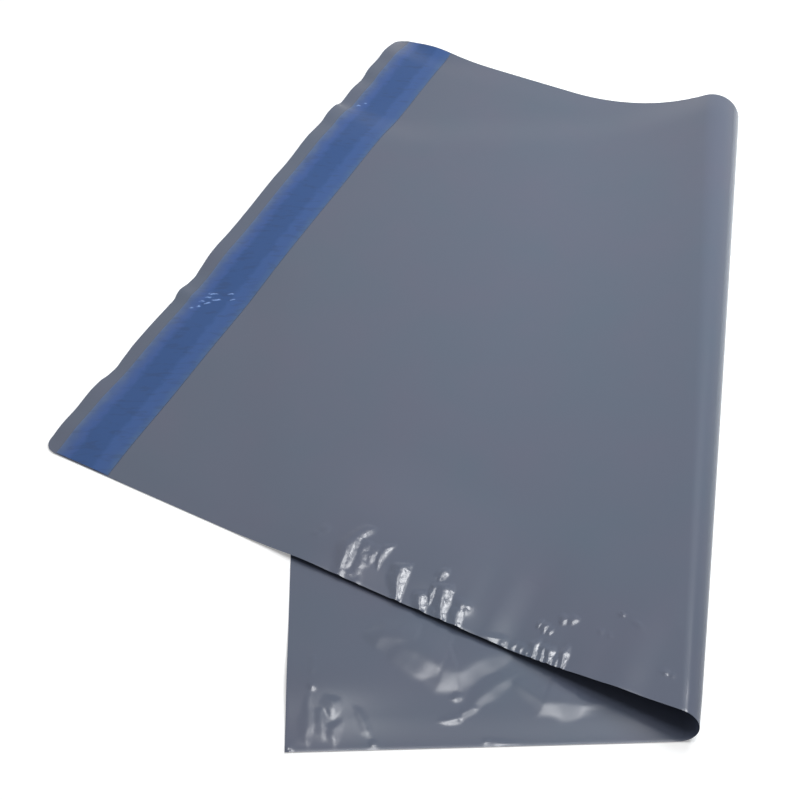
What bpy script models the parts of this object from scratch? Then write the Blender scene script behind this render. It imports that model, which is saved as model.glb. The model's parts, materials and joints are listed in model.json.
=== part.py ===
"""Poly mailer bag, empty and lying folded over on itself.

The bag is one web of film: folded across its bottom, welded down both sides and open
at the mouth, where the back ply runs on as the lip. The lip carries a band of adhesive
under a release liner. The lip end is turned over the bottom end along a slanting line,
and the film bends there in an open loop that is low at the near weld and high at the
far one.

Flat sheet coordinates: u runs along the bag from the bottom fold to the lip edge, v runs
across it from the near side weld to the far one. The base is the stretch that lies on
the floor, the flap is the stretch that is turned over it. Metres, +Z up.
"""

import math
from typing import NamedTuple

import bmesh
import bpy
from mathutils import Vector

# Film
BAG_WIDTH = 0.305  # near side weld to far side weld, 12 in
BAG_LENGTH = 0.406  # bottom fold to lip edge, 16 in
LIP_LENGTH = 0.033  # mouth of the pocket to lip edge
LIP_CORNER_RADIUS = 0.005
FILM_THICKNESS = 0.00006  # one ply of 60 micron film
POCKET_AIR = 0.0008  # left between the plies of the empty pocket
MOUTH_AIR = 0.0003  # between the plies at the mouth
WELD_EASE = 0.012  # from a weld or the bottom fold to the full air gap
MOUTH_EASE = 0.025  # from the mouth to the full air gap

# Closure on the lip
LINER_TO_LIP_EDGE = 0.006
LINER_TO_MOUTH = 0.003
LINER_THICKNESS = 0.00005
LINER_END_SETBACK = 0.0005  # liner and adhesive stop this short of the side welds
OUTER_FINGER_MARGIN = 0.0045  # liner past the adhesive, towards the lip edge
INNER_FINGER_MARGIN = 0.0065  # liner past the adhesive, towards the mouth
ADHESIVE_THICKNESS = 0.00015
SEAT_GAP = 0.0003  # film to adhesive, and adhesive to liner

# Fold
FOLD_POSITION = 0.138  # bottom fold to fold line, along the near side weld
FOLD_TILT = math.radians(14.3)  # fold line against the bottom fold
NEAR_LOOP_HEIGHT = 0.0118
FAR_LOOP_HEIGHT = 0.0223
NEAR_LANDING_SLOPE = math.radians(10.4)  # how steeply the film leaves the loop's crown
FAR_LANDING_SLOPE = math.radians(35.5)
LAYER_GAP = 0.0003  # flap over base
DRAPE_RUN = 0.025  # past the base's outline, until the flap lies on the floor

# Ripples of the lip edge: crests and valleys as (share of the width, height)
RIPPLES = (
    (0.00, 0.0000), (0.05, 0.0017), (0.15, 0.0000), (0.24, 0.0008), (0.33, 0.0000), (0.43, 0.0020),
    (0.60, 0.0030), (0.75, 0.0052), (0.80, 0.0030), (0.94, 0.0048), (1.00, 0.0008),
)
RIPPLE_REACH = 0.070  # from the lip edge to flat film

# Mesh
MIDDLE_ROWS = 28  # across the bag, between the rows along its welds
BASE_COLUMNS = 3
TURN_COLUMNS = 12
LANDING_COLUMNS = 8
FLAP_COLUMNS = 4

FRONT, BACK = 1, -1  # sides of the bag: the mouth shows on the front

FILM_GREY = (0.141, 0.166, 0.216, 1.0)
LINER_BLUE = (0.052, 0.107, 0.305, 1.0)
ADHESIVE_CLEAR = (0.55, 0.55, 0.50, 1.0)


class Loop(NamedTuple):
    """Section of the fold's loop: a round turn, then a long landing arc of opposite bend."""

    radius: float
    landing_radius: float
    turn: float  # arc length of the turn
    landing: float  # arc length of the landing
    start: float  # where the film leaves the floor, across the fold line

    @property
    def end(self):
        return self.start + self.turn + self.landing


def lerp(a, b, share):
    return a + (b - a) * share


def ease(share):
    """0 to 1 with level ends, and held there outside them."""
    share = min(max(share, 0.0), 1.0)
    return share * share * (3 - 2 * share)


def loop_at(along):
    """The loop's section at a distance along the fold line from the near weld."""
    share = min(max(along / BAG_WIDTH, 0.0), 1.0)
    radius = lerp(NEAR_LOOP_HEIGHT, FAR_LOOP_HEIGHT, share) / 2
    slope = lerp(NEAR_LANDING_SLOPE, FAR_LANDING_SLOPE, share)
    landing_radius = radius / math.tan(slope / 2) ** 2
    turn = radius * (math.pi + slope)
    landing = landing_radius * slope
    run_back = (radius + landing_radius) * math.sin(slope)
    return Loop(radius, landing_radius, turn, landing, (run_back - turn - landing) / 2)


def across_and_along(u, v):
    """A sheet point measured from the fold line: across it, and along it."""
    c, s = math.cos(FOLD_TILT), math.sin(FOLD_TILT)
    return (u - FOLD_POSITION) * c - v * s, (u - FOLD_POSITION) * s + v * c


def bent(across, loop):
    """(across, height, share of the turn done) of a sheet point once the film is folded."""
    arc = across - loop.start
    if arc <= 0:
        return across, 0.0, 0.0
    if arc < loop.turn:
        angle = arc / loop.radius
        height = loop.radius * (1 - math.cos(angle))
        return loop.start + loop.radius * math.sin(angle), height, arc / loop.turn
    angle_left = (loop.end - across) / loop.landing_radius
    if angle_left > 0:
        height = loop.landing_radius * (1 - math.cos(angle_left))
        return loop.landing_radius * math.sin(angle_left) - loop.end, height, 1.0
    return -across, 0.0, 1.0


def ripple(u, v):
    """Height of the lip's ripples over flat film."""
    fade = max(1 - (BAG_LENGTH - u) / RIPPLE_REACH, 0.0) ** 2
    share = v / BAG_WIDTH
    for (start, low), (end, high) in zip(RIPPLES, RIPPLES[1:]):
        if share <= end:
            return fade * lerp(low, high, ease((share - start) / (end - start)))
    return fade * high


def flap_lift(x, y):
    """Height of the flap over the floor: on the base, and falling to none past its outline."""
    inside = min(x, BAG_WIDTH - y)
    on_base = 2 * FILM_THICKNESS + POCKET_AIR + LAYER_GAP
    return on_base * ease(1 + inside / DRAPE_RUN)


def sheet_point(u, v):
    """(place, share of the turn done) of a sheet point, on the inner face of the ply that lies lower."""
    across, along = across_and_along(u, v)
    across, height, turned = bent(across, loop_at(along))
    c, s = math.cos(FOLD_TILT), math.sin(FOLD_TILT)
    x = FOLD_POSITION + across * c + along * s
    y = along * c - across * s
    height += FILM_THICKNESS + ease(turned) * (flap_lift(x, y) + ripple(u, v))
    return Vector((x, y, height)), turned


def front_normal(u, v):
    """Unit normal of the folded sheet, out of the bag's front."""
    step = 0.0002
    du = sheet_point(u + step, v)[0] - sheet_point(u - step, v)[0]
    dv = sheet_point(u, v + step)[0] - sheet_point(u, v - step)[0]
    return dv.cross(du).normalized()


def air_between_plies(u, v):
    """Gap between the plies: none along the welds and the bottom fold, slight at the mouth."""
    from_weld = min(u, v, BAG_WIDTH - v)
    to_mouth = BAG_LENGTH - LIP_LENGTH - u
    open_air = lerp(MOUTH_AIR, POCKET_AIR, ease(to_mouth / MOUTH_EASE))
    return open_air * ease(from_weld / WELD_EASE)


def ply_point(u, v, side):
    """A point of one ply's inner face. The air is over the ply that lies lower: front, then back."""
    point, turned = sheet_point(u, v)
    share = turned if side == FRONT else 1 - turned
    return point + front_normal(u, v) * side * share * air_between_plies(u, v)


def loop_column(share_of_turn, share_of_landing):
    """Sheet line that follows the loop, as u at the near weld and u at the far one."""
    ends = []
    for v in (0.0, BAG_WIDTH):
        u = FOLD_POSITION
        for _ in range(20):  # settles on the loop's section where this line crosses the weld
            across, along = across_and_along(u, v)
            loop = loop_at(along)
            wanted = loop.start + loop.turn * share_of_turn + loop.landing * share_of_landing
            u += (wanted - across) / math.cos(FOLD_TILT)
        ends.append(u)
    return tuple(ends)


def columns_between(first, last, count):
    """Sheet lines spaced evenly after first, up to and with last."""
    shares = [i / count for i in range(1, count + 1)]
    return [tuple(lerp(a, b, share) for a, b in zip(first, last)) for share in shares]


def straight(u):
    return (u, u)


def lip_edge(v):
    """u of the lip edge, which is rounded at both corners."""
    radius = min(LIP_CORNER_RADIUS, LINER_TO_LIP_EDGE * 0.9)
    inside_corner = max(radius - min(v, BAG_WIDTH - v), 0.0)
    return BAG_LENGTH - radius + math.sqrt(radius ** 2 - inside_corner ** 2)


def rows_across():
    """Places of the mesh's rows across the bag, from weld to weld."""
    by_weld = sorted([0.0, LIP_CORNER_RADIUS * 0.3, LIP_CORNER_RADIUS, WELD_EASE])
    first, last = by_weld[-1], BAG_WIDTH - by_weld[-1]
    middle = [lerp(first, last, i / MIDDLE_ROWS) for i in range(1, MIDDLE_ROWS)]
    return by_weld + middle + [BAG_WIDTH - v for v in reversed(by_weld)]


def closure_lines():
    """Edges across the lip, from the mouth out: liner, adhesive, adhesive, liner."""
    liner_in = BAG_LENGTH - LIP_LENGTH + LINER_TO_MOUTH
    liner_out = BAG_LENGTH - LINER_TO_LIP_EDGE
    return [liner_in, liner_in + INNER_FINGER_MARGIN, liner_out - OUTER_FINGER_MARGIN, liner_out]


def pocket_columns():
    """Sheet lines of both plies, from the bottom fold to the mouth."""
    columns = [straight(0.0), straight(WELD_EASE)]
    columns += columns_between(columns[-1], loop_column(0, 0), BASE_COLUMNS)
    columns += [loop_column((i + 1) / TURN_COLUMNS, 0) for i in range(TURN_COLUMNS)]
    columns += [loop_column(1, (i + 1) / LANDING_COLUMNS) for i in range(LANDING_COLUMNS)]
    return columns + columns_between(columns[-1], straight(BAG_LENGTH - LIP_LENGTH), FLAP_COLUMNS)


def lip_columns():
    """Sheet lines of the back ply past the mouth."""
    return [straight(u) for u in closure_lines() + [BAG_LENGTH]]


def add_patch(bm, columns, place, flip, end_setback=0.0):
    """Adds a grid over the sheet and moves each vertex to place(u, v)."""
    rows = rows_across()
    grid = bmesh.ops.create_grid(bm, x_segments=len(columns) - 1, y_segments=len(rows) - 1, size=0.5)
    for vert in grid["verts"]:
        near, far = columns[round((vert.co.x + 0.5) * (len(columns) - 1))]
        share = rows[round((vert.co.y + 0.5) * (len(rows) - 1))] / BAG_WIDTH
        v = lerp(end_setback, BAG_WIDTH - end_setback, share)
        vert.co = place(min(lerp(near, far, share), lip_edge(v)), v)
    if flip:
        faces = {face for vert in grid["verts"] for face in vert.link_faces}
        bmesh.ops.reverse_faces(bm, faces=list(faces))


def new_material(name, colour, roughness):
    material = bpy.data.materials.new(name)
    material.use_nodes = True
    shader = material.node_tree.nodes["Principled BSDF"]
    shader.inputs["Base Color"].default_value = colour
    shader.inputs["Roughness"].default_value = roughness
    shader.inputs["Metallic"].default_value = 0.0
    return material


def film_object(name, bm, thickness, material, collection, parent):
    """An object that gives the open surface in bm its thickness, on the side its faces look to."""
    mesh = bpy.data.meshes.new(name)
    bm.to_mesh(mesh)
    bm.free()
    mesh.materials.append(material)
    mesh.shade_smooth()
    obj = bpy.data.objects.new(name, mesh)
    collection.objects.link(obj)
    obj.parent = parent
    solidify = obj.modifiers.new("thickness", "SOLIDIFY")
    solidify.thickness = thickness
    solidify.offset = 1
    return obj


def make_film_bag(collection, parent):
    """Both plies as one pocket, joined along the bottom fold and the side welds, with the lip."""
    bm = bmesh.new()
    columns = pocket_columns()
    add_patch(bm, columns, lambda u, v: ply_point(u, v, FRONT), flip=True)
    add_patch(bm, columns + lip_columns(), lambda u, v: ply_point(u, v, BACK), flip=False)
    bmesh.ops.remove_doubles(bm, verts=bm.verts, dist=1e-7)
    material = new_material("grey_film", FILM_GREY, 0.35)
    return film_object("film_bag", bm, FILM_THICKNESS, material, collection, parent)


def make_lip_band(name, edges, height, thickness, material, collection, parent):
    """A band along the lip, seated at a height over its inner face."""
    bm = bmesh.new()
    columns = [straight(u) for u in edges]
    place = lambda u, v: sheet_point(u, v)[0] + front_normal(u, v) * height
    add_patch(bm, columns, place, flip=True, end_setback=LINER_END_SETBACK)
    return film_object(name, bm, thickness, material, collection, parent)


def make_closure(collection, parent):
    """The adhesive band and the release liner over it."""
    lines = closure_lines()
    clear = new_material("clear_adhesive", ADHESIVE_CLEAR, 0.25)
    blue = new_material("blue_liner", LINER_BLUE, 0.40)
    over_adhesive = 2 * SEAT_GAP + ADHESIVE_THICKNESS
    return [
        make_lip_band("adhesive_band", lines[1:3], SEAT_GAP, ADHESIVE_THICKNESS, clear, collection, parent),
        make_lip_band("release_liner", lines, over_adhesive, LINER_THICKNESS, blue, collection, parent),
    ]


def centre_over_origin(pieces, anchor):
    """Moves the anchor so that the origin lies under the middle of the bag's outline."""
    graph = bpy.context.evaluated_depsgraph_get()
    corners = [Vector(c) for piece in pieces for c in piece.evaluated_get(graph).bound_box]
    for axis in range(2):
        sides = [corner[axis] for corner in corners]
        anchor.location[axis] = -(min(sides) + max(sides)) / 2
    bpy.context.view_layer.update()


def main():
    for obj in list(bpy.data.objects):
        bpy.data.objects.remove(obj)
    collection = bpy.data.collections.new("poly_mailer_bag")
    bpy.context.scene.collection.children.link(collection)
    anchor = bpy.data.objects.new("bag_anchor", None)
    collection.objects.link(anchor)
    pieces = [make_film_bag(collection, anchor)] + make_closure(collection, anchor)
    centre_over_origin(pieces, anchor)


main()
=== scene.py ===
"""Looks of an empty poly mailer bag that lies with its lip end turned over its bottom end.

The bag is one web of film. Its sheet coordinates are the ones of the CAD source: u runs from
the bottom fold to the lip edge, v from the near side weld to the far one. Lengths are metres,
and only the relief that is pressed into the film and the steps of the meshes are written in
millimetres.
"""

import json
import logging
import math
from dataclasses import dataclass, field
from enum import Enum
from typing import Any, Callable, NamedTuple, Sequence

import bpy
import numpy as np
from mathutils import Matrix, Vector

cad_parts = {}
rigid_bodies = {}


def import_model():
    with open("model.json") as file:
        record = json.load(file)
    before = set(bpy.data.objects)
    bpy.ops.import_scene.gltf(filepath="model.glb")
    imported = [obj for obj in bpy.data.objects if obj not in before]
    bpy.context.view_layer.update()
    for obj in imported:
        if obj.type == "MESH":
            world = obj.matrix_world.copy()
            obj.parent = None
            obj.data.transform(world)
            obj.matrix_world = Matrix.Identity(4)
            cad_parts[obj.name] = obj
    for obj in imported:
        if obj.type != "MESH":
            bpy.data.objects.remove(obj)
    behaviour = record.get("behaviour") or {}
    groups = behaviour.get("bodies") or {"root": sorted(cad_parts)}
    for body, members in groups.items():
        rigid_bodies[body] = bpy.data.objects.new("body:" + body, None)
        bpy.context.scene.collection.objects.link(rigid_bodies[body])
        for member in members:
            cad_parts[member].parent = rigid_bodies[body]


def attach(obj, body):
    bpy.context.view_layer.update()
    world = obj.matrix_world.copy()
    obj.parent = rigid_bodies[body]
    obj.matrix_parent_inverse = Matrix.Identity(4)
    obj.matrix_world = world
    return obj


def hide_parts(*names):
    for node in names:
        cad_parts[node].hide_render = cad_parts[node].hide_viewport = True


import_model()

LOG = logging.getLogger("poly_mailer_bag")
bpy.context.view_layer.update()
BODY = "root"
MM = 0.001

Array = np.ndarray
Point = tuple[float, float]
Points = tuple[Point, ...]
Triple = tuple[float, float, float]


# Small tools

def linear(colour: str, alpha: float = 1.0) -> tuple[float, float, float, float]:
    """Turn an sRGB hex colour into the linear one that a shader takes.

    Args:
        colour: the colour as "#rrggbb".
        alpha: the opacity that goes with it.

    Returns:
        The linear red, green and blue, and the opacity.
    """
    parts = [int(colour[i:i + 2], 16) / 255 for i in (1, 3, 5)]
    lit = [p / 12.92 if p <= 0.04045 else ((p + 0.055) / 1.055) ** 2.4 for p in parts]
    return lit[0], lit[1], lit[2], alpha


def ease(share: Array) -> Array:
    """Give 0 to 1 with level ends, and the end values outside them."""
    share = np.clip(share, 0.0, 1.0)
    return share * share * (3 - 2 * share)


def mix(low: Any, high: Any, share: Any) -> Any:
    """Give the value that lies at share between low and high."""
    return low + (high - low) * share


def add_node(tree: bpy.types.NodeTree, kind: str, settings: dict[str, Any] | None = None,
             **inputs: Any) -> bpy.types.Node:
    """Add a node with its settings, values and links.

    Args:
        tree: the node tree that takes the node.
        kind: the type of the node.
        settings: properties of the node itself.
        inputs: a value or an output socket for each input, whose name is written with
            underscores, or as in_0 for the first one.

    Returns:
        The new node.
    """
    node = tree.nodes.new(kind)
    for name, value in (settings or {}).items():
        setattr(node, name, value)
    for name, value in inputs.items():
        if name.startswith("in_"):
            socket = node.inputs[int(name[3:])]
        else:
            socket = node.inputs[name.replace("_", " ")]
        if isinstance(value, bpy.types.NodeSocket):
            tree.links.new(value, socket)
        else:
            socket.default_value = value
    return node


# Relief of the film

STEEPEST = math.sqrt(2 / math.e)  # of a bell curve: its steepest slope for a height and reach of 1
RAMP_END = 0.25  # share of a ramp over which its slope grows, and fades again
NO_WIDTH = 1e-6  # stands in for a face that has no width, so that it can divide
WORKED_HEIGHT = 0.3  # millimetres of rise at which film counts as fully crumpled


def ramp(share: Array) -> Array:
    """Give an even slope with rounded ends.

    Args:
        share: places, of which 0 to 1 lie on the slope.

    Returns:
        The height at each place, from 0 at the slope's foot to 1 at its head.
    """
    share = np.clip(share, 0.0, 1.0)
    low = np.clip(RAMP_END - share, 0.0, None) ** 2
    high = np.clip(RAMP_END - 1 + share, 0.0, None) ** 2
    return (share - RAMP_END / 2 + (low - high) / (2 * RAMP_END)) / (1 - RAMP_END)


def follow(turning_points: Sequence[Point], place: Array) -> Array:
    """Give the height at each place along a line of crests and valleys.

    Args:
        turning_points: (place, height) of each crest and valley, in rising order of place.
        place: where the height is wanted.

    Returns:
        The heights, which pass from one turning point to the next with level ends.
    """
    height = np.where(place < turning_points[0][0], turning_points[0][1], turning_points[-1][1])
    for (start, low), (end, high) in zip(turning_points, turning_points[1:]):
        here = (place >= start) & (place <= end)
        height = np.where(here, mix(low, high, ease((place - start) / (end - start))), height)
    return height


@dataclass(frozen=True)
class Crease:
    """A sloping face in the film along a path, in millimetres and degrees.

    The film is higher on the right of the path, seen with u to the right and v up, and falls
    back to its old level behind the face.
    """

    path: tuple[Triple, ...]  # u, v and the face's width at each point
    pitch: float  # slope of the face
    back: float = 1.0  # length of the fall behind the face, in widths

    def rise(self, u: Array, v: Array) -> Array:
        """Work out how much the face lifts the film.

        Args:
            u: sheet places along the bag, in millimetres.
            v: the same across it.

        Returns:
            The lift at each, in millimetres.
        """
        best = np.full(u.shape, np.inf)
        aside, width = np.zeros(u.shape), np.zeros(u.shape)
        for a, b in zip(self.path, self.path[1:]):
            run_u, run_v = b[0] - a[0], b[1] - a[1]
            length = math.hypot(run_u, run_v)
            along = np.clip(((u - a[0]) * run_u + (v - a[1]) * run_v) / length ** 2, 0, 1)
            away = np.hypot(u - mix(a[0], b[0], along), v - mix(a[1], b[1], along))
            here = away < best
            right = ((u - a[0]) * run_v - (v - a[1]) * run_u) / length
            aside = np.where(here, right, aside)
            width = np.where(here, mix(a[2], b[2], along), width)
            best = np.minimum(away, best)
        width = np.maximum(width, NO_WIDTH)
        height = width * math.tan(math.radians(self.pitch)) * (1 - RAMP_END)
        return height * ramp(aside / width + 0.5) * (1 - ramp((aside / width - 0.5) / self.back))


@dataclass(frozen=True)
class Swell:
    """A soft dome in the film, in millimetres and degrees."""

    centre: Point
    radii: Point
    pitch: float  # slope at its steepest, across its smaller radius
    turn: float = 0.0  # of its first radius from the u axis towards v

    def rise(self, u: Array, v: Array) -> Array:
        """Work out how much the dome lifts the film.

        Args:
            u: sheet places along the bag, in millimetres.
            v: the same across it.

        Returns:
            The lift at each, in millimetres.
        """
        c, s = math.cos(math.radians(self.turn)), math.sin(math.radians(self.turn))
        along = ((u - self.centre[0]) * c + (v - self.centre[1]) * s) / self.radii[0]
        across = ((v - self.centre[1]) * c - (u - self.centre[0]) * s) / self.radii[1]
        height = math.tan(math.radians(self.pitch)) * min(self.radii) / STEEPEST
        return height * np.exp(-(along ** 2 + across ** 2))


@dataclass(frozen=True)
class Waver:
    """Sideways waver that keeps the lines of creases and swells uneven, in millimetres."""

    reach: float
    length: float
    fine_share: float = 0.6  # reach of the finer wave on top of the main one
    phases: Point = (0.7, 2.1)  # radians by which the main waves start, for u and v
    fine_rates: Point = (1.7, 1.4)  # how many finer waves go in a main one, for u and v

    def moved(self, u: Array, v: Array) -> tuple[Array, Array]:
        """Move sheet points by the waver.

        Args:
            u: sheet places along the bag, in millimetres.
            v: the same across it.

        Returns:
            The moved u and v.
        """
        length = self.length / (2 * math.pi)
        fine_u = self.fine_share * np.sin((u + v) / length * self.fine_rates[0])
        fine_v = self.fine_share * np.sin((u - v) / length * self.fine_rates[1])
        return (u + self.reach * (np.sin(v / length + self.phases[0]) + fine_u),
                v + self.reach * (np.sin(u / length + self.phases[1]) + fine_v))


Feature = Crease | Swell

BASE_WAVER = Waver(0.4, 19)
FLAP_WAVER = Waver(0.12, 7)
LINER_WAVER = Waver(0.25, 3)

BASE_SWELL = Swell((10, 26), (30, 14), 6)  # soft rise of the base above its near corner
FAR_CORNER_LIFT = Swell((385, 308), (15, 9), 15)  # of the lip, next to the far weld

BASE_RELIEF: tuple[Feature, ...] = (
    # streak along the near side, which runs on to a broad soft patch
    Crease(((59.5, 10.2, 0), (57, 9.5, 2.8), (54, 9.2, 2.2), (51.5, 9.2, 1.2), (49, 9.3, 0)), 10.5),
    Crease(((64.5, 13, 0), (62, 12.2, 3), (58.6, 10.9, 2.8), (56, 10.4, 0)), 9),
    Crease(((80, 26, 0), (75, 22.6, 4.2), (68.5, 17.4, 4.8), (62, 12.8, 3), (59, 11.4, 0)), 6.8),
    Crease(((104, 12.4, 0), (98, 11.8, 6), (91, 11.6, 8), (84.5, 12.4, 7), (80.5, 16.5, 5),
        (77, 21.5, 3.5), (75, 25, 0)), 6.8, 1.6),
    # cloud in the middle of the base ply
    Crease(((80, 36, 0), (74, 32, 6), (66, 27.8, 9), (58.5, 23.2, 11), (52, 24.2, 13),
        (47, 26.8, 10), (42, 30, 0)), 7.1, 1.5),
    Crease(((56, 23.6, 0), (50.5, 25.4, 11), (45.5, 28.4, 12), (41, 31.2, 12), (36.5, 34.6, 10),
        (31.5, 38.4, 0)), 8.6, 1.3),
    Crease(((50, 32.6, 0), (43, 34.4, 9), (37, 36.8, 11), (31, 39, 9), (25.5, 41.5, 0)), 10.7, 1.2),
    Crease(((60, 18.6, 0), (58, 17.2, 2), (56.4, 16.8, 2.2), (54, 17.4, 0)), 12),
    # folds near the bottom corner, and dots along the edges that meet there
    Crease(((8.8, 22, 0), (8.2, 16, 1.4), (8, 11, 2), (8.4, 7, 2), (8.2, 3, 1.6),
        (7.8, 0.4, 0)), 7, 1.8),
    Crease(((12.6, 16, 0), (12.5, 13, 1.6), (12.8, 10, 2), (13.2, 6, 1.6), (13.4, 2, 0)), 6.5, 1.8),
    Crease(((18.6, 18.4, 0), (17.2, 16.2, 3), (16.2, 14, 3), (15.2, 11, 0)), 7.5, 1.6),
    Crease(((18.4, 11, 0), (17.8, 8, 2.8), (17.2, 4.6, 2.8), (16.6, 1, 0)), 6.5, 1.6),
    Crease(((22, 15.4, 0), (24.6, 13, 1.4), (26.6, 10, 1.8), (28, 6, 1.6), (28.6, 2, 0)), 7.5, 1.8),
    Swell((1.6, 1.6), (0.9, 0.9), 24),
    Swell((8.7, 22.2), (1, 1), 20),
    Swell((28.8, 1.4), (0.8, 0.8), 24),
    Swell((8.6, 28.4), (1, 1), 17),
    Swell((8.4, 32.6), (1, 1), 15.5),
    Swell((66.2, 1.2), (1, 0.7), 18),
    Swell((71.5, 1.4), (3.4, 0.7), 12.5),
)

FLAP_RELIEF: tuple[Feature, ...] = (
    # fan of puckers where the near weld's pull ends
    Crease(((274.7, -2, 2.2), (274.8, 1, 2.4), (274.9, 3, 3), (274.9, 6, 4), (275.3, 9, 4.8),
        (275.4, 12, 5.2), (274.9, 15, 4.8), (274, 18, 4.2), (272.6, 21, 3.4),
        (271.4, 24, 0)), 16.5, 0.8),
    Crease(((270.2, 8, 1.6), (270.7, 10.6, 2.6), (270.9, 13, 3.3), (270.8, 15.6, 3.7),
        (270.5, 18, 0)), 17, 0.3),
    Swell((273.9, 2.3), (0.8, 0.8), 21),
    Swell((271.8, 2), (0.8, 0.8), 21),
    Swell((271.1, 6.4), (0.9, 0.9), 22),
    Swell((269.2, 7.7), (0.8, 0.9), 20),
    Crease(((267.4, 7.2, 0), (267, 11.4, 3), (266.4, 14.4, 3.6), (265.6, 17.6, 0)), 10),
    Crease(((263.8, 7, 0), (264, 11.6, 2.2), (264, 14, 3), (263.4, 16.6, 3.2), (262.4, 18.6, 1.8),
        (261.4, 20, 0)), 13.6, 0.5),
    # streaks towards the loop
    Crease(((251.4, -2, 1.6), (251.8, 1, 2.3), (252.4, 4, 3.2), (253.8, 8.4, 4.4),
        (253.8, 11.6, 4.8), (253, 15.5, 0)), 18),
    Crease(((241.8, -2, 1.8), (242.3, 1, 2.6), (243.2, 3.4, 3.4), (243.7, 5.6, 3.6),
        (243.9, 8, 0)), 16.5),
    Crease(((240.8, 3, 0), (240.8, 6.6, 3.4), (240.4, 10, 4.2), (239.6, 13.6, 0)), 12.5, 0.3),
    Crease(((241.6, 11, 0), (241.2, 14.4, 2.2), (240.6, 17, 3.2), (239.8, 19.6, 0)), 17.5, 0.5),
    Swell((243, 15.6), (1.2, 1.4), 18),
    Crease(((233.8, -2, 1.6), (234.2, 1, 2.4), (234.8, 3, 3.2), (235.4, 6, 4), (236, 9, 4.8),
        (236.4, 11.5, 5), (236.6, 14.8, 0)), 15.5),
    Swell((238.6, 1.8), (1, 1), 20),
    Swell((230.6, 8.2), (3, 2.2), 15, 10),
    Crease(((227.6, -2, 1.6), (228.4, 1, 2.6), (229, 3.4, 3.2), (229.2, 5.6, 3.4),
        (229.2, 8, 0)), 14.5),
    # rolled edge of the near weld
    Crease(((222, 0.2, 0), (218, 0.6, 1.2), (214, 1.1, 1.7), (211, 1.5, 1.9), (208.8, 1.8, 0)), 11),
    Crease(((209.2, -0.4, 0), (207.9, 0.9, 2.2), (206.6, 2.3, 2.2), (205.6, 3.4, 0)), 13, 0.6),
    Crease(((205.6, -0.6, 0), (205, 0.8, 2.2), (204.2, 2.4, 2.2), (203.4, 3.6, 0)), 13.5, 0.6),
    Crease(((203.2, -0.6, 0), (202.6, 0.8, 2), (202, 2.2, 2), (201.4, 3.4, 0)), 14, 0.6),
    Swell((212, 1), (1.2, 0.9), 17),
    # tight puckers next to the loop's open end
    Crease(((200.2, -2, 1.2), (200.1, 1, 1.7), (200, 3.2, 2.4), (200.2, 5.4, 3),
        (200.6, 8.6, 0)), 19),
    Crease(((197.3, -2, 1), (197.3, 1, 1.6), (197.2, 3.4, 2.3), (197, 5, 2.6),
        (196.8, 7.2, 0)), 17.5, 0.6),
    Crease(((194.2, -2, 1.8), (194.2, 1, 2.6), (194.3, 3.4, 3.4), (194.5, 5, 3.8),
        (194.7, 7.4, 0)), 19.5, 0.4),
    Crease(((191.9, -2, 1), (191.9, 0.8, 1.6), (192, 3, 2), (192.2, 5, 0)), 19.5, 0.5),
    Crease(((190, -2, 1.2), (189.7, 0.8, 1.8), (189.6, 3, 2.6), (189.9, 5.6, 3.4),
        (190.4, 10, 0)), 23, 0.5),
    Crease(((203, 10.8, 0), (202.6, 12.4, 1.8), (202.2, 13.8, 2), (201.9, 15.4, 0)), 19.5, 0.5),
    Crease(((200.6, 9.6, 0), (200.2, 11.4, 2.2), (199.8, 13, 2.6), (199.4, 14.8, 0)), 19.5, 0.5),
    Crease(((198.5, 9.2, 0), (198.2, 10.8, 1.6), (197.8, 12.2, 1.8), (197.5, 13.6, 0)), 19.5, 0.5),
    Crease(((196.6, 14.6, 0), (195.4, 16.2, 2.8), (194.2, 17.6, 2.8), (193.2, 19, 0)), 12.5),
    Crease(((193.6, 15.4, 0), (192.4, 17, 2.8), (191.2, 18.4, 2.8), (190.2, 19.8, 0)), 12.5),
    # dots on the flap's rise to the loop, and two past the fan
    Swell((182.6, 17.6), (1, 1), 12),
    Swell((179.1, 17), (1, 1), 12),
    Swell((178, 26.2), (1.1, 1.2), 21),
    Swell((171.8, 24), (2.6, 0.9), 14, 23),
    Swell((157.4, 10.6), (1.4, 0.9), 22),
    Swell((154.8, 10.4), (0.9, 0.7), 16),
    Swell((288.8, 14.6), (1.4, 1.8), 19),
    Swell((290.4, 11.6), (1.2, 1.2), 17),
)

# Crinkles that only the release liner has
LINER_CRINKLES: tuple[Crease, ...] = (
    Crease(((394.8, 99.7, 0), (392.4, 101.1, 0.7), (390, 102.5, 0)), 24),
    Crease(((394.4, 97.2, 0), (393, 98.6, 0.7), (391.4, 99.6, 0)), 24),
    Crease(((391.5, 97.4, 0), (389.3, 98.7, 0.7), (387.1, 100, 0)), 24),
    Crease(((395.3, 94.3, 0), (394, 95.1, 0.6), (392.7, 95.9, 0)), 24),
    Crease(((392.6, 94.2, 0), (391.4, 95.2, 0.8), (390.2, 96.4, 0)), 24),
    Crease(((394.6, 91, 0), (393.4, 92, 0.7), (392, 93.4, 0)), 22),
    Crease(((397.4, 89.2, 0), (396.2, 90, 0.6), (395.4, 91.4, 0)), 22),
    Crease(((386.8, 103.7, 0), (385.3, 104.6, 0.6), (383.8, 105.5, 0)), 24),
    Crease(((384.6, 101.1, 0), (383, 102.1, 0.6), (381.6, 103, 0)), 24),
    Crease(((399.2, 241.6, 0), (397.6, 243, 0.7), (396, 244, 0)), 22),
    Crease(((397, 245.4, 0), (395.4, 246.6, 0.6), (393.8, 247.4, 0)), 22),
)

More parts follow.
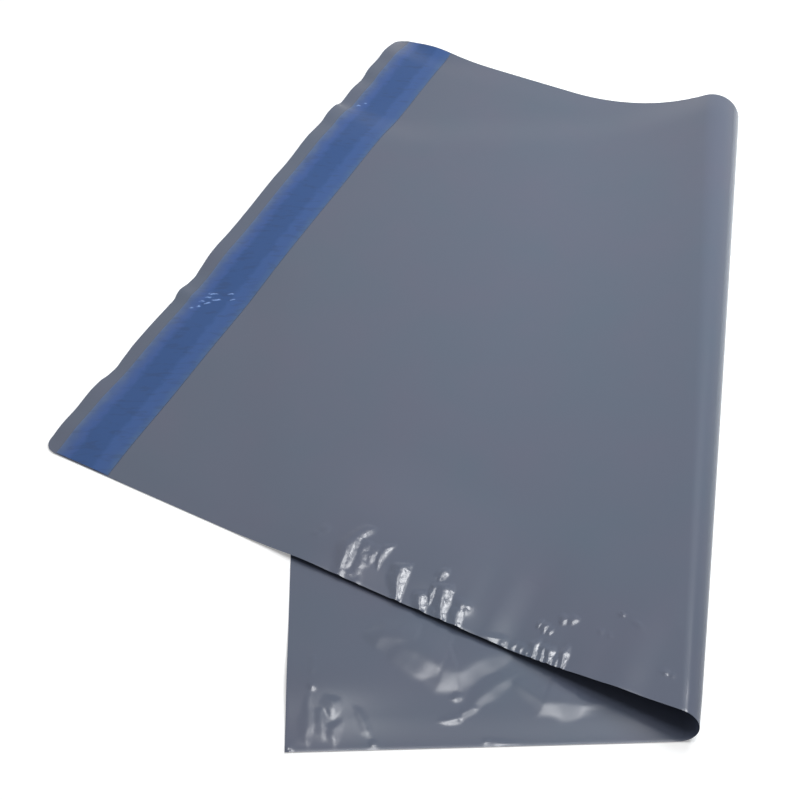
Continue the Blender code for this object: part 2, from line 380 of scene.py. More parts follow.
# Lift of the flap along its near weld, over the CAD source's edge: (u, lift) in millimetres
NEAR_EDGE_LIFT: Points = (
    (146, -0.6), (160, -0.8), (170, -0.4), (180, -1), (195, -2), (207, -2),
    (220, -0.7), (232, 0.1), (250, 0.7), (275, 0.9), (288, 1.2), (305, 0),
)
NEAR_EDGE_LEVEL = 8.0  # v up to which the lift is whole
NEAR_EDGE_FADE = 45.0  # and how much further it has gone

# Bulge of the flap beside its near weld, to which it slopes down: (u, height) in millimetres
NEAR_BULGE: Points = (
    (150, 0), (180, 0.6), (195, 1.2), (209, 0.6), (224, 1), (240, 2),
    (256, 2.1), (275, 2.2), (292, 0.8), (310, 0),
)
NEAR_BULGE_CREST = 26.0  # v of its crest
NEAR_BULGE_END = 60.0  # v where it has ended


def relief(features: Sequence[Feature], u: Array, v: Array, waver: Waver) -> Array:
    """Work out the height that the highest of the features gives the film.

    Args:
        features: the creases and swells.
        u: sheet places along the bag, in millimetres.
        v: the same across it.
        waver: what keeps the features from being even.

    Returns:
        The height at each place, in millimetres.
    """
    u, v = waver.moved(u, v)
    height = np.zeros(u.shape)
    for feature in features:
        height = np.maximum(height, feature.rise(u, v))
    return height


def base_relief(u: Array, v: Array, share: Array | float) -> Array:
    """Rise of the base at sheet points in millimetres, with a share of its creases."""
    return BASE_SWELL.rise(u, v) + share * relief(BASE_RELIEF, u, v, BASE_WAVER)


def flap_relief(u: Array, v: Array, share: Array | float) -> Array:
    """Work out how much the flap's film rises over its plain fold.

    Args:
        u: sheet places along the bag, in millimetres.
        v: the same across it.
        share: how much of the creases is there, from 0 to 1.

    Returns:
        The rise at each place, in millimetres.
    """
    edge = follow(NEAR_EDGE_LIFT, u) * (1 - ease((v - NEAR_EDGE_LEVEL) / NEAR_EDGE_FADE))
    rise = np.sin(math.pi / 2 * np.clip(v / NEAR_BULGE_CREST, 0, 1))
    bulge = follow(NEAR_BULGE, u) * rise
    bulge = bulge * (1 - ease((v - NEAR_BULGE_CREST) / (NEAR_BULGE_END - NEAR_BULGE_CREST)))
    return edge + bulge + share * relief(FLAP_RELIEF, u, v, FLAP_WAVER)


# The folded web

class Ply(Enum):
    """The two plies of the pocket. The value is the side of the sheet that it lies on."""

    FRONT = 1
    BACK = -1


class Section(NamedTuple):
    """The loop's section at each place along the fold line."""

    radius: Array
    landing_radius: Array
    turn: Array  # length of film in the round part
    landing: Array  # and in the wide arc that comes down after it
    start: Array  # sheet distance from the fold line to the round part


@dataclass(frozen=True)
class FoldedWeb:
    """The web of film, folded over in an open loop as in the CAD source."""

    width: float = 0.305
    length: float = 0.406  # with the lip
    lip_length: float = 0.033
    corner_radius: float = 0.005
    film: float = 0.00006
    pocket_air: float = 0.0003  # between the plies
    mouth_air: float = 0.00002  # between them at the mouth
    weld_ease: float = 0.012  # distance from a weld over which they part
    mouth_ease: float = 0.020  # and from the mouth
    crease_ease: float = 0.006  # how far a lower ply's creases reach in from the shared edges
    lift: float = 0.00122  # of the flap where it lies on the base
    drape_run: float = 0.025  # distance past the base over which the flap comes down to the floor
    relief_end: float = 3.0  # the base's relief is gone by a third of the turn
    fold_position: float = 0.138  # u of the fold line at the near weld
    fold_tilt: float = math.radians(14.3)
    loop_heights: Point = (0.0118, 0.0223)  # at the near weld and at the far one
    landing_slopes: Point = (math.radians(10.4), math.radians(35.5))
    search_passes: int = 20  # by which a sheet line along the loop is found
    ripple_reach: float = 0.070
    ripples: Points = (  # share of the lip's width, and height
        (0, 0), (0.05, 0.0017), (0.15, 0), (0.24, 0.0008), (0.33, 0),
        (0.43, 0.002), (0.6, 0.003), (0.75, 0.0052), (0.8, 0.003), (0.94, 0.0048),
        (1, 0.0008),
    )
    flutter_reach: float = 0.018
    flutter: Points = (  # shorter waves of the lip's edge, likewise
        (0, 0.0004), (0.025, 0), (0.065, -0.0004), (0.11, 0.0012), (0.16, 0),
        (0.28, -0.0006), (0.298, -0.0003), (0.315, 0.0014), (0.335, 0), (0.36, -0.0006),
        (0.4, 0.0006), (0.45, 0), (0.57, 0.0006), (0.62, 0), (0.68, 0.0005),
        (0.725, -0.0004), (0.748, 0.001), (0.772, 0.0012), (0.788, 0), (0.826, 0.0008),
        (0.865, -0.001), (0.885, 0.0004), (0.92, -0.0004), (0.945, 0.0003), (0.98, 0.0008),
        (1, 0),
    )
    set_in: Points = (  # share of the lip's width, and how far the edge sets back
        (0.125, 0), (0.14, 0.0006), (0.157, 0.0009), (0.176, 0.0004), (0.2, 0),
        (0.285, 0), (0.297, 0.0003), (0.308, 0), (0.325, 0), (0.35, 0.0005), (0.366, 0),
    )

    @property
    def mouth(self) -> float:
        """Sheet place of the pocket's mouth."""
        return self.length - self.lip_length

    def section(self, along: Array) -> Section:
        """Work out the loop's section along the fold line.

        Args:
            along: distances along the fold line from the near weld.

        Returns:
            The section's radii, arc lengths and start at each of them.
        """
        share = np.clip(along / self.width, 0.0, 1.0)
        radius = mix(*self.loop_heights, share) / 2
        slope = mix(*self.landing_slopes, share)
        landing_radius = radius / np.tan(slope / 2) ** 2
        turn = radius * (math.pi + slope)
        landing = landing_radius * slope
        run_back = (radius + landing_radius) * np.sin(slope)
        return Section(radius, landing_radius, turn, landing, (run_back - turn - landing) / 2)

    def across_and_along(self, u: Array, v: Array) -> tuple[Array, Array]:
        """Measure sheet points from the fold line: across it, and along it."""
        c, s = math.cos(self.fold_tilt), math.sin(self.fold_tilt)
        return (u - self.fold_position) * c - v * s, (u - self.fold_position) * s + v * c

    def ripple(self, u: Array, v: Array) -> Array:
        """Work out the height of the lip's ripples over flat film.

        Args:
            u: sheet places along the bag.
            v: the same across it.

        Returns:
            The height at each place.
        """
        fade = np.clip(1 - (self.length - u) / self.ripple_reach, 0.0, None) ** 2
        edge = np.clip(1 - (self.length - u) / self.flutter_reach, 0.0, None) ** 2
        share = v / self.width
        corner = FAR_CORNER_LIFT.rise(u / MM, v / MM) * MM
        return fade * follow(self.ripples, share) + edge * follow(self.flutter, share) + corner

    def place(self, u: Array, v: Array, ply: Ply | None = None) -> tuple[Array, Array]:
        """Fold sheet points.

        Args:
            u: sheet places along the bag.
            v: the same across it.
            ply: the ply that the points are on, which has its creases only where it is the upper
                one, or None for the upper one throughout.

        Returns:
            The folded points as rows of x, y and z, and the share of the turn that each has done.
        """
        across, along = self.across_and_along(u, v)
        loop = self.section(along)
        end = loop.start + loop.turn + loop.landing
        arc = across - loop.start
        left = (end - across) / loop.landing_radius
        angle = arc / loop.radius
        turning = (arc > 0) & (arc < loop.turn)
        landing = (arc >= loop.turn) & (left > 0)
        flat = (arc >= loop.turn) & (left <= 0)
        run, height = across.copy(), np.zeros(across.shape)
        run = np.where(turning, loop.start + loop.radius * np.sin(angle), run)
        height = np.where(turning, loop.radius * (1 - np.cos(angle)), height)
        run = np.where(landing, loop.landing_radius * np.sin(left) - end, run)
        height = np.where(landing, loop.landing_radius * (1 - np.cos(left)), height)
        run = np.where(flat, -across, run)
        turned = np.clip(arc / loop.turn, 0.0, 1.0)
        c, s = math.cos(self.fold_tilt), math.sin(self.fold_tilt)
        x = self.fold_position + run * c + along * s
        y = along * c - run * s
        on_base = self.lift * ease(1 + np.minimum(x, self.width - y) / self.drape_run)
        height = height + self.film + ease(turned) * (on_base + self.ripple(u, v))
        under = 1 - ease(np.minimum(u, v) / self.crease_ease)
        share = under if ply is Ply.FRONT else 1.0
        height = height + (1 - ease(turned * self.relief_end)) * base_relief(u / MM, v / MM, share) * MM
        share = under if ply is Ply.BACK else 1.0
        height = height + ease(turned) * flap_relief(u / MM, v / MM, share) * MM
        return np.stack([x, y, height], axis=-1), turned

    def normal(self, u: Array, v: Array) -> Array:
        """Work out unit normals of the folded sheet, out of the bag's front.

        Args:
            u: sheet places along the bag.
            v: the same across it.

        Returns:
            The normals as rows of x, y and z.
        """
        step = 0.0002
        along_u = self.place(u + step, v)[0] - self.place(u - step, v)[0]
        along_v = self.place(u, v + step)[0] - self.place(u, v - step)[0]
        normal = np.cross(along_v, along_u)
        return normal / np.linalg.norm(normal, axis=-1, keepdims=True)

    def ply_point(self, u: Array, v: Array, ply: Ply) -> Array:
        """Place points of one ply's inner face, with the pocket's air under the upper ply.

        Args:
            u: sheet places along the bag.
            v: the same across it.
            ply: the ply that the points are on.

        Returns:
            Their places.
        """
        points, turned = self.place(u, v, ply)
        share = turned if ply is Ply.FRONT else 1 - turned
        from_weld = np.minimum(np.minimum(u, v), self.width - v)
        air = mix(self.mouth_air, self.pocket_air, ease((self.mouth - u) / self.mouth_ease))
        air = air * ease(from_weld / self.weld_ease)
        return points + self.normal(u, v) * (ply.value * share * air)[..., None]

    def worked(self, u: Array, v: Array) -> Array:
        """Share of crumpling at sheet points: 1 on the flap's creases, 0 elsewhere."""
        height = relief(FLAP_RELIEF, u / MM, v / MM, FLAP_WAVER)
        return ease(height / WORKED_HEIGHT) * np.round(self.place(u, v)[1])

    def lip_edge(self, v: Array) -> Array:
        """Find the lip's edge, which is rounded at its corners and sets back a little in places.

        Args:
            v: sheet places across the bag.

        Returns:
            The edge's u at each of them.
        """
        inside = np.clip(self.corner_radius - np.minimum(v, self.width - v), 0.0, None)
        rounded = self.corner_radius - np.sqrt(self.corner_radius ** 2 - inside ** 2)
        return self.length - rounded - follow(self.set_in, v / self.width)

    def loop_line(self, share_of_turn: float, share_of_landing: float) -> Point:
        """Find the sheet line that follows the loop.

        Args:
            share_of_turn: how much of the turn lies before the line.
            share_of_landing: how much of the landing does.

        Returns:
            The line's u at the near weld and at the far one.
        """
        ends = []
        for v in (0.0, self.width):
            u = self.fold_position
            for _ in range(self.search_passes):
                across, along = self.across_and_along(np.array(u), np.array(v))
                loop = self.section(along)
                wanted = loop.start + loop.turn * share_of_turn + loop.landing * share_of_landing
                u += float(wanted - across) / math.cos(self.fold_tilt)
            ends.append(u)
        return ends[0], ends[1]


# Finishes

def new_material(name: str, roughness: float,
                 ior: float = 1.50) -> tuple[bpy.types.Material, bpy.types.Node]:
    """Make a material with one surface.

    Args:
        name: the material's name.
        roughness: of its surface.
        ior: its index of refraction.

    Returns:
        The material and its surface's shader.
    """
    material = bpy.data.materials.new(name)
    material.use_nodes = True
    shader = material.node_tree.nodes["Principled BSDF"]
    shader.inputs["Roughness"].default_value = roughness
    shader.inputs["IOR"].default_value = ior
    return material, shader


@dataclass(frozen=True)
class LdpeFilm:
    """Co-extruded low-density polyethylene film, blown and slit.

    It gives the eye an even slate grey with a soft sheen that turns to bright glints on creases.
    """

    name: str = "ldpe_film"
    colour: str = "#58596b"
    second_colour: str = "#4e5b6b"
    roughness: float = 0.20
    ior: float = 1.51
    cloud: float = 0.045  # size of the patches of the second colour
    grain: float = 0.0024  # size of the grain on crumpled film
    grain_depth: float = 0.00012

    def material(self) -> bpy.types.Material:
        """Make the film's material.

        Returns:
            The material, which reads "worked" from the mesh.
        """
        material, shader = new_material(self.name, self.roughness, self.ior)
        tree = material.node_tree
        place = add_node(tree, "ShaderNodeTexCoord").outputs["Object"]
        cloud = add_node(tree, "ShaderNodeTexNoise", Vector=place, Scale=1 / self.cloud,
                         Detail=2.0, Roughness=0.6)
        tint = add_node(tree, "ShaderNodeMix", {"data_type": "RGBA"}, Factor=cloud.outputs["Fac"],
                        in_6=linear(self.colour), in_7=linear(self.second_colour))
        tree.links.new(tint.outputs[2], shader.inputs["Base Color"])
        crumpled = add_node(tree, "ShaderNodeAttribute", {"attribute_name": "worked"})
        grain = add_node(tree, "ShaderNodeTexNoise", Vector=place, Scale=1 / self.grain,
                         Detail=2.0, Distortion=0.6)
        bump = add_node(tree, "ShaderNodeBump", Strength=crumpled.outputs["Fac"],
                        Distance=self.grain_depth, Height=grain.outputs["Fac"])
        tree.links.new(bump.outputs["Normal"], shader.inputs["Normal"])
        return material


@dataclass(frozen=True)
class ReleaseFilm:
    """Blue release film over the closure, cast with a silicone face.

    It gives the eye a strong blue that is darker where the adhesive wets it from below, with
    faint cross marks, and a painted highlight of pale blue along its crinkles.
    """

    name: str = "release_film"
    stops: tuple[tuple[float, str], ...] = (  # share of the way from the outer edge, and colour
        (0.00, "#4b5f80"), (0.07, "#3f5680"), (0.13, "#344f82"), (0.22, "#2a4b84"),
        (0.30, "#1a4277"), (0.64, "#1a4277"), (0.72, "#274b82"), (0.88, "#2a4b80"),
        (0.95, "#30507f"), (1.00, "#3c567c"),
    )
    # colour of the painted highlight that the crinkles get in place of a glint
    painted_glint: str = "#7f9cd2"
    roughness: float = 0.32
    wetting: float = 0.004  # size of the patches by which the wetted part's border strays
    wetting_shift: float = 0.10  # and how far, in shares of the liner's width
    marks: Point = (0.007, 0.0018)  # length and width of the cross marks
    mark_band: Point = (0.33, 0.45)  # of their noise, over which they fade
    mark_shade: float = 0.84

    def material(self) -> bpy.types.Material:
        """Make the release film's material.

        Returns:
            The material, which reads "across" and "creased" from the mesh.
        """
        material, shader = new_material(self.name, self.roughness)
        tree = material.node_tree
        across = add_node(tree, "ShaderNodeAttribute", {"attribute_name": "across"})
        place = add_node(tree, "ShaderNodeTexCoord").outputs["Object"]
        patches = add_node(tree, "ShaderNodeTexNoise", Vector=place, Scale=1 / self.wetting,
                           Detail=3.0, Roughness=0.65)
        shift = add_node(tree, "ShaderNodeMapRange", Value=patches.outputs["Fac"],
                         To_Min=-self.wetting_shift, To_Max=self.wetting_shift)
        blurred = add_node(tree, "ShaderNodeMath", {"operation": "ADD"},
                           in_0=across.outputs["Fac"], in_1=shift.outputs[0])
        tint = add_node(tree, "ShaderNodeValToRGB", Fac=blurred.outputs[0])
        ramp_stops = tint.color_ramp.elements
        ramp_stops[1].position = 1.0
        for _ in self.stops[2:]:
            ramp_stops.new(0.5)
        for stop, (position, colour) in zip(ramp_stops, self.stops):
            stop.position, stop.color = position, linear(colour)
        stretched = add_node(tree, "ShaderNodeMapping", Vector=place,
                             Scale=(1 / self.marks[0], 1 / self.marks[1], 1 / self.marks[1]))
        marks = add_node(tree, "ShaderNodeTexNoise", Vector=stretched.outputs[0], Scale=1.0,
                         Detail=2.0, Distortion=0.4)
        level = add_node(tree, "ShaderNodeMapRange", Value=marks.outputs["Fac"],
                         From_Min=self.mark_band[0], From_Max=self.mark_band[1],
                         To_Min=self.mark_shade, To_Max=1.0)
        marked = add_node(tree, "ShaderNodeHueSaturation", Value=level.outputs[0],
                          Color=tint.outputs["Color"])
        # pale painted highlight over the crinkles, by the share that the mesh gives
        crinkle_glint_share = add_node(tree, "ShaderNodeAttribute", {"attribute_name": "crinkle_glint_share"})
        painted_glint = add_node(tree, "ShaderNodeMix", {"data_type": "RGBA"},
                            Factor=crinkle_glint_share.outputs["Fac"], in_6=marked.outputs[0],
                            in_7=linear(self.painted_glint))
        tree.links.new(painted_glint.outputs[2], shader.inputs["Base Color"])
        return material


@dataclass(frozen=True)
class HotMeltAdhesive:
    """Pressure-sensitive hot-melt adhesive, slot coated.

    It gives the eye a pale, slightly yellow layer with a wet sheen.
    """

    name: str = "hot_melt_adhesive"
    colour: str = "#c4c2b4"
    roughness: float = 0.25

    def material(self) -> bpy.types.Material:
        """Make the adhesive's material.

        Returns:
            The material.
        """
        material, shader = new_material(self.name, self.roughness)
        shader.inputs["Base Color"].default_value = linear(self.colour)
        return material


# Meshes

SHARP_ANGLE = math.radians(50)  # between faces, from which an edge isn't shaded smooth


def spaced(first: Point, last: Point, count: int) -> list[Point]:
    """Space count sheet lines evenly after first, up to and with last."""
    shares = [i / count for i in range(1, count + 1)]
    return [(mix(first[0], last[0], share), mix(first[1], last[1], share)) for share in shares]


def steps(marks: Sequence[Point]) -> list[float]:
    """Fill in places between marks, each with the step that leads up to it.

    Args:
        marks: pairs of a place and the step before it, in millimetres.

    Returns:
        All the places, in metres.
    """
    places = [marks[0][0]]
    for place, step in marks[1:]:
        count = max(round((place - places[-1]) / step), 1)
        places += list(np.linspace(places[-1], place, count + 1)[1:])
    return [p * MM for p in places]


class Line(NamedTuple):
    """A line of mesh points across the bag."""

    near: float  # u at the near weld
    far: float  # u at the far weld
    through: bool  # False where it ends beside the fine strip along the near weld


class Part(NamedTuple):
    """Number of mesh lines in a part of the web, and how many of them run from weld to weld."""

    lines: int
    every: int = 1  # one line in so many does


def mesh_lines(places: Sequence[Point], every: int = 1) -> list[Line]:
    """Make mesh lines, of which one in so many runs from weld to weld, the last one among them."""
    return [Line(*ends, (len(places) - 1 - i) % every == 0) for i, ends in enumerate(places)]


class Grid(NamedTuple):
    """Sheet places of a mesh's points, and its faces."""

    u: Array
    v: Array
    faces: list[tuple[int, ...]]
    ids: dict[tuple[int, int], int]  # point numbers by line and row


def lay_grid(lines: Sequence[Line], rows: Sequence[float], web: FoldedWeb, has_point: Array,
             setback: float = 0.0) -> Grid:
    """Lay a grid over the sheet, with points left out where it may be coarse.

    Args:
        lines: the grid's lines across the bag.
        rows: the grid's lines along the bag, as v.
        web: the folded web, for its width and its lip's edge.
        has_point: whether there is a point, by the line's number and the row's.
        setback: how far the grid stops short of each weld.

    Returns:
        The grid, whose faces look to the back of the sheet.
    """
    places, ids = [], {}
    for i, line in enumerate(lines):
        for j, row in enumerate(rows):
            if has_point[i, j]:
                share = row / web.width
                ids[i, j] = len(places)
                places.append((mix(line.near, line.far, share),
                               mix(setback, web.width - setback, share)))
    u, v = np.array(places).T
    faces = []
    for i, j in ids:
        above = next((m for m in range(j + 1, len(rows)) if (i, m) in ids), None)
        beyond = next((n for n in range(i + 1, len(lines)) if (n, above) in ids), None)
        if beyond is not None:
            lower = [ids[n, j] for n in range(i, beyond + 1) if (n, j) in ids]
            side = [ids[beyond, m] for m in range(j + 1, above + 1) if (beyond, m) in ids]
            faces.append((*lower, *side, ids[i, above]))
    return Grid(np.minimum(u, web.lip_edge(v)), v, faces, ids)


def new_piece(name: str, points: Array, faces: list[tuple[int, ...]], offset: Vector,
              material: bpy.types.Material, thickness: float,
              weights: dict[str, Array]) -> bpy.types.Object:
    """Make a smooth piece of film from an open surface.

    Args:
        name: the piece's name.
        points: its vertices in the web's own frame.
        faces: its faces, looking to the side that the thickness goes to.
        offset: what moves the web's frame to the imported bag's.
        material: its finish.
        thickness: the film's thickness.
        weights: a value for each vertex under each name, for the material.

    Returns:
        The piece, with its thickness applied.
    """
    mesh = bpy.data.meshes.new(name)
    mesh.from_pydata((points + np.array(offset)).tolist(), [], faces)
    mesh.materials.append(material)
    mesh.shade_smooth()
    mesh.update()
    for key, values in weights.items():
        attribute = mesh.attributes.new(key, "FLOAT", "POINT")
        attribute.data.foreach_set("value", values.astype(np.float32))
    piece = bpy.data.objects.new(name, mesh)
    bpy.context.scene.collection.objects.link(piece)
    solidify = piece.modifiers.new("thickness", "SOLIDIFY")
    solidify.thickness = thickness
    solidify.offset = 1
    solidify.use_even_offset = False
    solid = bpy.data.meshes.new_from_object(
        piece.evaluated_get(bpy.context.evaluated_depsgraph_get()))
    solid.set_sharp_from_angle(angle=SHARP_ANGLE)
    piece.modifiers.clear()
    piece.data = solid
    bpy.data.meshes.remove(mesh)
    solid.name = name
    return piece


@dataclass
class FilmBag:
    """The pocket and its lip, made from the one folded web."""

    web: FoldedWeb
    offset: Vector
    base_steps: Points = ((0, 1), (1.2, 0.6), (98.5, 0.7))  # marks of its fine lines
    base_every: int = 9  # one of them in so many runs from weld to weld
    lead: Part = Part(10, 2)  # from there to the loop
    turn: Part = Part(22)
    landing: Part = Part(208, 8)
    flap: Part = Part(24, 4)
    flap_end: Point = (0.300, 0.320)  # u of the flap's last fine line at both welds
    rest: Part = Part(15)  # from there to the mouth
    lip: Part = Part(18)
    mouth_lines: int = 6  # the last lines before the mouth, which have every row
    fine_steps: Points = ((0, 1), (1.2, 0.6), (27, 0.74), (46, 1.2))  # of the rows
    coarse_steps: Points = ((46, 1), (302, 2.0), (305, 1.5))
    coarse_every: int = 2  # one coarse row in so many goes all along the bag
    flap_strip: float = 0.0275  # width of the fine strip along the flap's near weld
    hidden_rows: int = 9  # fine rows of a ply that lies underneath
    finish: LdpeFilm = field(default_factory=LdpeFilm)

    def lines(self) -> tuple[list[Line], list[Line], list[Line]]:
        """Lay out the mesh lines.

        Returns:
            The lines of the base, of the loop and the flap, and of the lip.
        """
        web, turns, landings = self.web, self.turn.lines, self.landing.lines
        base = [(u, u) for u in steps(self.base_steps)]
        lead = spaced(base[-1], web.loop_line(0, 0), self.lead.lines)
        turn = [web.loop_line((i + 1) / turns, 0) for i in range(turns)]
        landing = [web.loop_line(1, (i + 1) / landings) for i in range(landings)]
        flap = spaced(landing[-1], self.flap_end, self.flap.lines)
        rest = spaced(flap[-1], (web.mouth, web.mouth), self.rest.lines)
        lip = spaced(rest[-1], (web.length, web.length), self.lip.lines)
        lower = mesh_lines(base[:1]) + mesh_lines(base[1:], self.base_every)
        upper = mesh_lines(turn) + mesh_lines(landing, self.landing.every)
        upper += mesh_lines(flap, self.flap.every) + mesh_lines(rest)
        return lower + mesh_lines(lead, self.lead.every), upper, mesh_lines(lip)

    def grids(self) -> tuple[Grid, Grid, int]:
        """Lay a grid over each ply, which has its fine rows where that ply is the upper one.

        Returns:
            The front's grid and the back's, and the number of the last row.
        """
        base, flap, lip = self.lines()
        lines = base + flap + lip
        loop, mouth = len(base), len(base) + len(flap) - self.mouth_lines
        fine = steps(self.fine_steps)
        rows = fine + steps(self.coarse_steps)[1:]
        line, row = np.indices((len(lines), len(rows)))
        coarse = (len(rows) - 1 - row) % self.coarse_every == 0
        kept = (row < len(fine)) | (line >= mouth) | coarse
        kept &= np.array([place.through for place in lines])[:, None]
        flap_rows = sum(place < self.flap_strip for place in rows)
        on_front = kept | (row < np.where(line < loop, self.hidden_rows, flap_rows))
        on_back = kept | (row < np.where(line < loop, len(fine), self.hidden_rows))
        return (lay_grid(base + flap, rows, self.web, on_front),
                lay_grid(lines, rows, self.web, on_back), len(rows) - 1)

    def build(self) -> bpy.types.Object:
        """Build both plies as one closed pocket with its lip.

        Returns:
            The bag, whose film has its thickness.
        """
        front, back, last = self.grids()
        points = np.concatenate([self.web.ply_point(front.u, front.v, Ply.FRONT),
                                 self.web.ply_point(back.u, back.v, Ply.BACK)])
        count = len(front.u)
        joined = np.arange(len(points))
        for (i, j), number in front.ids.items():  # both plies share the bottom fold and the welds
            if i == 0 or j in (0, last):
                joined[count + back.ids[i, j]] = number
        used, numbers = np.unique(joined, return_inverse=True)
        faces = [face[::-1] for face in front.faces]
        faces += [tuple(count + k for k in face) for face in back.faces]
        faces = [tuple(int(numbers[k]) for k in face) for face in faces]
        worked = np.concatenate([self.web.worked(front.u, front.v),
                                 self.web.worked(back.u, back.v)])
        piece = new_piece("film_bag_dressed", points[used], faces, self.offset,
                          self.finish.material(), self.web.film, {"worked": worked[used]})
        LOG.info("film bag: %d faces before its thickness", len(faces))
        return piece


class Band(NamedTuple):
    """Sizes and mesh of one band along the lip."""

    name: str
    inner: float  # its edges, back from the lip's edge
    outer: float
    thickness: float
    columns: int
    rows: Points  # marks of its rows
    crinkles: tuple[Crease, ...] = ()


@dataclass
class Closure:
    """The adhesive band on the lip and the release liner over it."""

    web: FoldedWeb
    offset: Vector
    adhesive: Band = Band("adhesive_band_dressed", inner=0.0235, outer=0.0105, thickness=0.00010,
                          columns=6, rows=((0, 1), (305, 1.75)))
    liner: Band = Band(
        "release_liner_dressed", inner=0.030, outer=0.006, thickness=0.00005, columns=44,
        rows=((0, 1), (88, 1.75), (107, 0.5), (240, 1.75), (250, 0.5), (305, 1.75)),
        crinkles=LINER_CRINKLES,
    )
    seat: float = 0.00007  # height of the adhesive over the sheet, and of the liner over it
    edge_seat: float = 0.00012  # height of the liner's edges over the sheet
    setback: float = 0.0005  # from each weld
    crinkle_height: float = 0.16  # millimetres of rise at which a crinkle in the liner gets the full painted highlight
    liner_finish: ReleaseFilm = field(default_factory=ReleaseFilm)
    adhesive_finish: HotMeltAdhesive = field(default_factory=HotMeltAdhesive)

    def drape(self, back: Array) -> Array:
        """Drape the liner over the adhesive.

        Args:
            back: distances from the lip's edge.

        Returns:
            The liner's height over the sheet at each, which falls beside the adhesive.
        """
        inside = (self.liner.inner - back) / (self.liner.inner - self.adhesive.inner)
        outside = (back - self.liner.outer) / (self.adhesive.outer - self.liner.outer)
        over = 2 * self.seat + self.adhesive.thickness
        return mix(self.edge_seat, over, ease(np.minimum(inside, outside)))

    def lay(self, band: Band, height: Callable[[Array], Array],
            material: bpy.types.Material) -> bpy.types.Object:
        """Lay one band along the lip.

        Args:
            band: its sizes and mesh.
            height: gives how far it lies over the sheet, by the distance from the lip's edge.
            material: its finish.

        Returns:
            The band.
        """
        web = self.web
        first, last = (web.length - band.inner,) * 2, (web.length - band.outer,) * 2
        lines = mesh_lines([first] + spaced(first, last, band.columns))
        rows = steps(band.rows)
        everywhere = np.ones((len(lines), len(rows)), bool)
        grid = lay_grid(lines, rows, web, everywhere, self.setback)
        back = web.length - grid.u
        crumple = relief(band.crinkles, grid.u / MM, grid.v / MM, LINER_WAVER)
        over = height(back) + crumple * MM
        points = web.place(grid.u, grid.v)[0] + web.normal(grid.u, grid.v) * over[:, None]
        faces = [face[::-1] for face in grid.faces]
        across = (back - self.liner.outer) / (self.liner.inner - self.liner.outer)
        # the crinkles' share of the painted highlight goes with the mesh
        piece = new_piece(band.name, points, faces, self.offset, material, band.thickness,
                          {"across": across, "crinkle_glint_share": ease(crumple / self.crinkle_height)})
        LOG.info("%s: %d faces before its thickness", band.name, len(faces))
        return piece

    def build(self) -> list[bpy.types.Object]:
        """Build the adhesive, and the liner over it.

        Returns:
            Both pieces.
        """
        return [self.lay(self.adhesive, lambda back: np.full(back.shape, self.seat),
                         self.adhesive_finish.material()),
                self.lay(self.liner, self.drape, self.liner_finish.material())]


# Studio

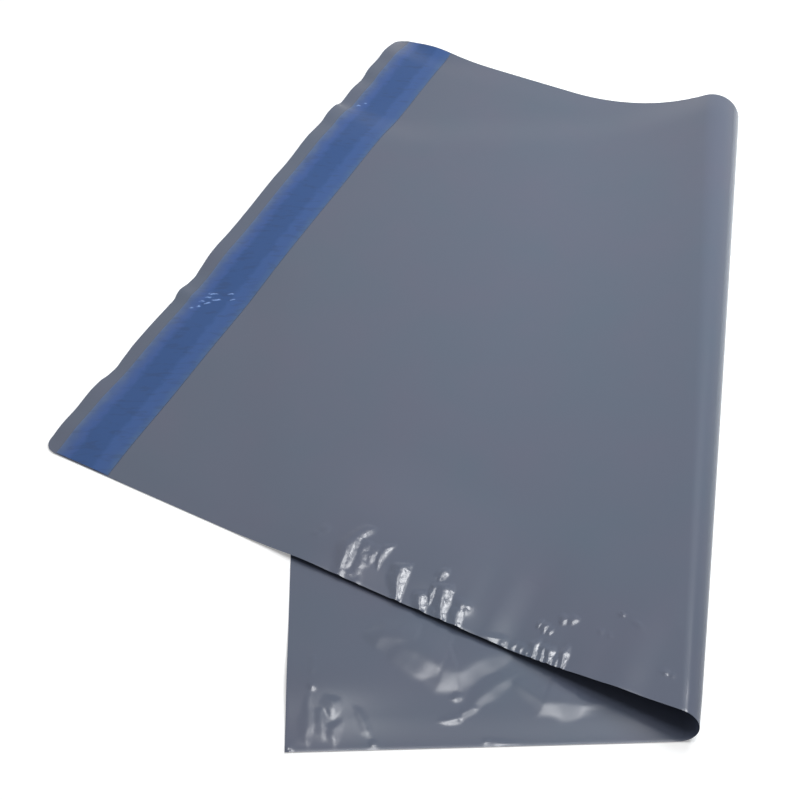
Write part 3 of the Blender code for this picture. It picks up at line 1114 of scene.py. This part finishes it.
@dataclass
class Studio:
    """White floor, even room, camera and lamps."""

    camera_place: Triple = (-0.02371, -0.38085, 0.39193)
    camera_turn: Triple = (40.34, 0.0, -1.66)  # degrees
    lens: float = 57.78  # millimetres, like the sensor's width
    sensor: float = 36.0
    room_fill: float = 0.25  # brightness of the room to matt surfaces
    floor_half: float = 3.0
    floor_drop: float = 0.0003  # of the floor under the bag
    floor_glow: float = 0.25  # what takes the lit paper up to white
    paper: str = "#f4f4f4"
    paper_roughness: float = 0.9

    def camera(self) -> None:
        """Make the camera at the photograph's viewing angle."""
        data = bpy.data.cameras.new("camera")
        data.lens, data.sensor_width, data.sensor_fit = self.lens, self.sensor, "HORIZONTAL"
        camera = bpy.data.objects.new("camera", data)
        camera.location = self.camera_place
        camera.rotation_euler = [math.radians(a) for a in self.camera_turn]
        bpy.context.scene.collection.objects.link(camera)
        bpy.context.scene.camera = camera

    def lamp(self, name: str, place: Triple, size: float, radiance: float,
             colour: str = "#ffffff") -> bpy.types.Object:
        """Make a round soft lamp that looks at the bag.

        Args:
            name: the lamp's name.
            place: where it is.
            size: its diameter.
            radiance: its brightness, where white paper in full light is 1.
            colour: its colour.

        Returns:
            The lamp.
        """
        data = bpy.data.lights.new(name, "AREA")
        data.shape, data.size = "DISK", size
        data.energy = radiance * math.pi ** 2 * size ** 2 / 4
        data.color = linear(colour)[:3]
        lamp = bpy.data.objects.new(name, data)
        lamp.location = place
        lamp.rotation_mode = "QUATERNION"
        lamp.rotation_quaternion = (-Vector(place)).to_track_quat("-Z", "Y")
        lamp.visible_camera = False
        bpy.context.scene.collection.objects.link(lamp)
        return lamp

    def world(self) -> None:
        """Make the even room: dim to the matt surfaces, white to the eye, to gloss and to glass."""
        world = bpy.data.worlds.new("room")
        bpy.context.scene.world = world
        world.use_nodes = True
        tree = world.node_tree
        tree.nodes.clear()
        path = add_node(tree, "ShaderNodeLightPath")
        seen = add_node(tree, "ShaderNodeMath", {"operation": "MAXIMUM"},
                        in_0=path.outputs["Is Camera Ray"], in_1=path.outputs["Is Glossy Ray"])
        seen = add_node(tree, "ShaderNodeMath", {"operation": "MAXIMUM"},
                        in_0=seen.outputs[0], in_1=path.outputs["Is Transmission Ray"])
        fill = add_node(tree, "ShaderNodeBackground", Color=linear("#ffffff"),
                        Strength=self.room_fill)
        white = add_node(tree, "ShaderNodeBackground", Color=linear("#ffffff"), Strength=1.0)
        both = add_node(tree, "ShaderNodeMixShader", in_0=seen.outputs[0],
                        in_1=fill.outputs[0], in_2=white.outputs[0])
        add_node(tree, "ShaderNodeOutputWorld", Surface=both.outputs[0])

    def floor(self) -> None:
        """Make the floor of matt white paper, which is white to the eye and keeps the shadow."""
        mesh = bpy.data.meshes.new("floor")
        half = self.floor_half
        mesh.from_pydata([(-half, -half, 0), (half, -half, 0), (half, half, 0), (-half, half, 0)],
                         [], [(0, 1, 2, 3)])
        floor = bpy.data.objects.new("floor", mesh)
        floor.location.z = -self.floor_drop
        bpy.context.scene.collection.objects.link(floor)
        material, shader = new_material("white_paper", self.paper_roughness)
        tree = material.node_tree
        shader.inputs["Base Color"].default_value = linear(self.paper)
        path = add_node(tree, "ShaderNodeLightPath")
        shader.inputs["Emission Color"].default_value = linear("#ffffff")
        glow = add_node(tree, "ShaderNodeMath", {"operation": "MULTIPLY"},
                        in_0=path.outputs["Is Camera Ray"], in_1=self.floor_glow)
        tree.links.new(glow.outputs[0], shader.inputs["Emission Strength"])
        mesh.materials.append(material)

    def build(self) -> None:
        """Make the camera, the lamps, the room and the floor."""
        self.camera()
        self.world()
        self.floor()
        self.lamp("overhead_lamp", (0.0, 0.0, 2.0), size=0.60, radiance=12.4)
        self.lamp("side_lamp", (0.54, 0.07, 1.35), size=0.26, radiance=27.0)
        self.lamp("panel", (0.245, 0.12, 1.26), size=0.24, radiance=3.2)
        # lights only what is matt, from low on the right
        window = self.lamp("window", (0.20, 0.07, 0.36), size=0.25, radiance=7.0,
                           colour="#f2fcff")
        window.visible_glossy = False
        bpy.context.scene.view_settings.view_transform = "Standard"


def web_offset(web: FoldedWeb) -> Vector:
    """Find the move from the web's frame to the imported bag's, whose box has its middle at 0.

    Args:
        web: the folded web.

    Returns:
        The move, which leaves heights as they are.
    """
    u, v = np.meshgrid(np.linspace(0, web.length, round(web.length / MM) + 1),
                       np.linspace(0, web.width, round(web.width / MM) + 1))
    points = web.place(np.minimum(u, web.lip_edge(v)), v)[0].reshape(-1, 3)
    middle = (points.min(0) + points.max(0)) / 2
    return Vector((-middle[0], -middle[1], 0.0))


def main() -> None:
    """Build the studio, the bag and its closure, and report each piece."""
    logging.basicConfig(level=logging.INFO, format="%(message)s")
    Studio().build()
    web = FoldedWeb()
    offset = web_offset(web)
    bag = FilmBag(web, offset).build()
    adhesive, liner = Closure(web, offset).build()
    for piece, node, slot in ((bag, "film_bag", "grey_film"),
                              (adhesive, "adhesive_band", "clear_adhesive"),
                              (liner, "release_liner", "blue_liner")):
        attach(piece, BODY)
        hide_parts(node)


if __name__ == "__main__":
    main()
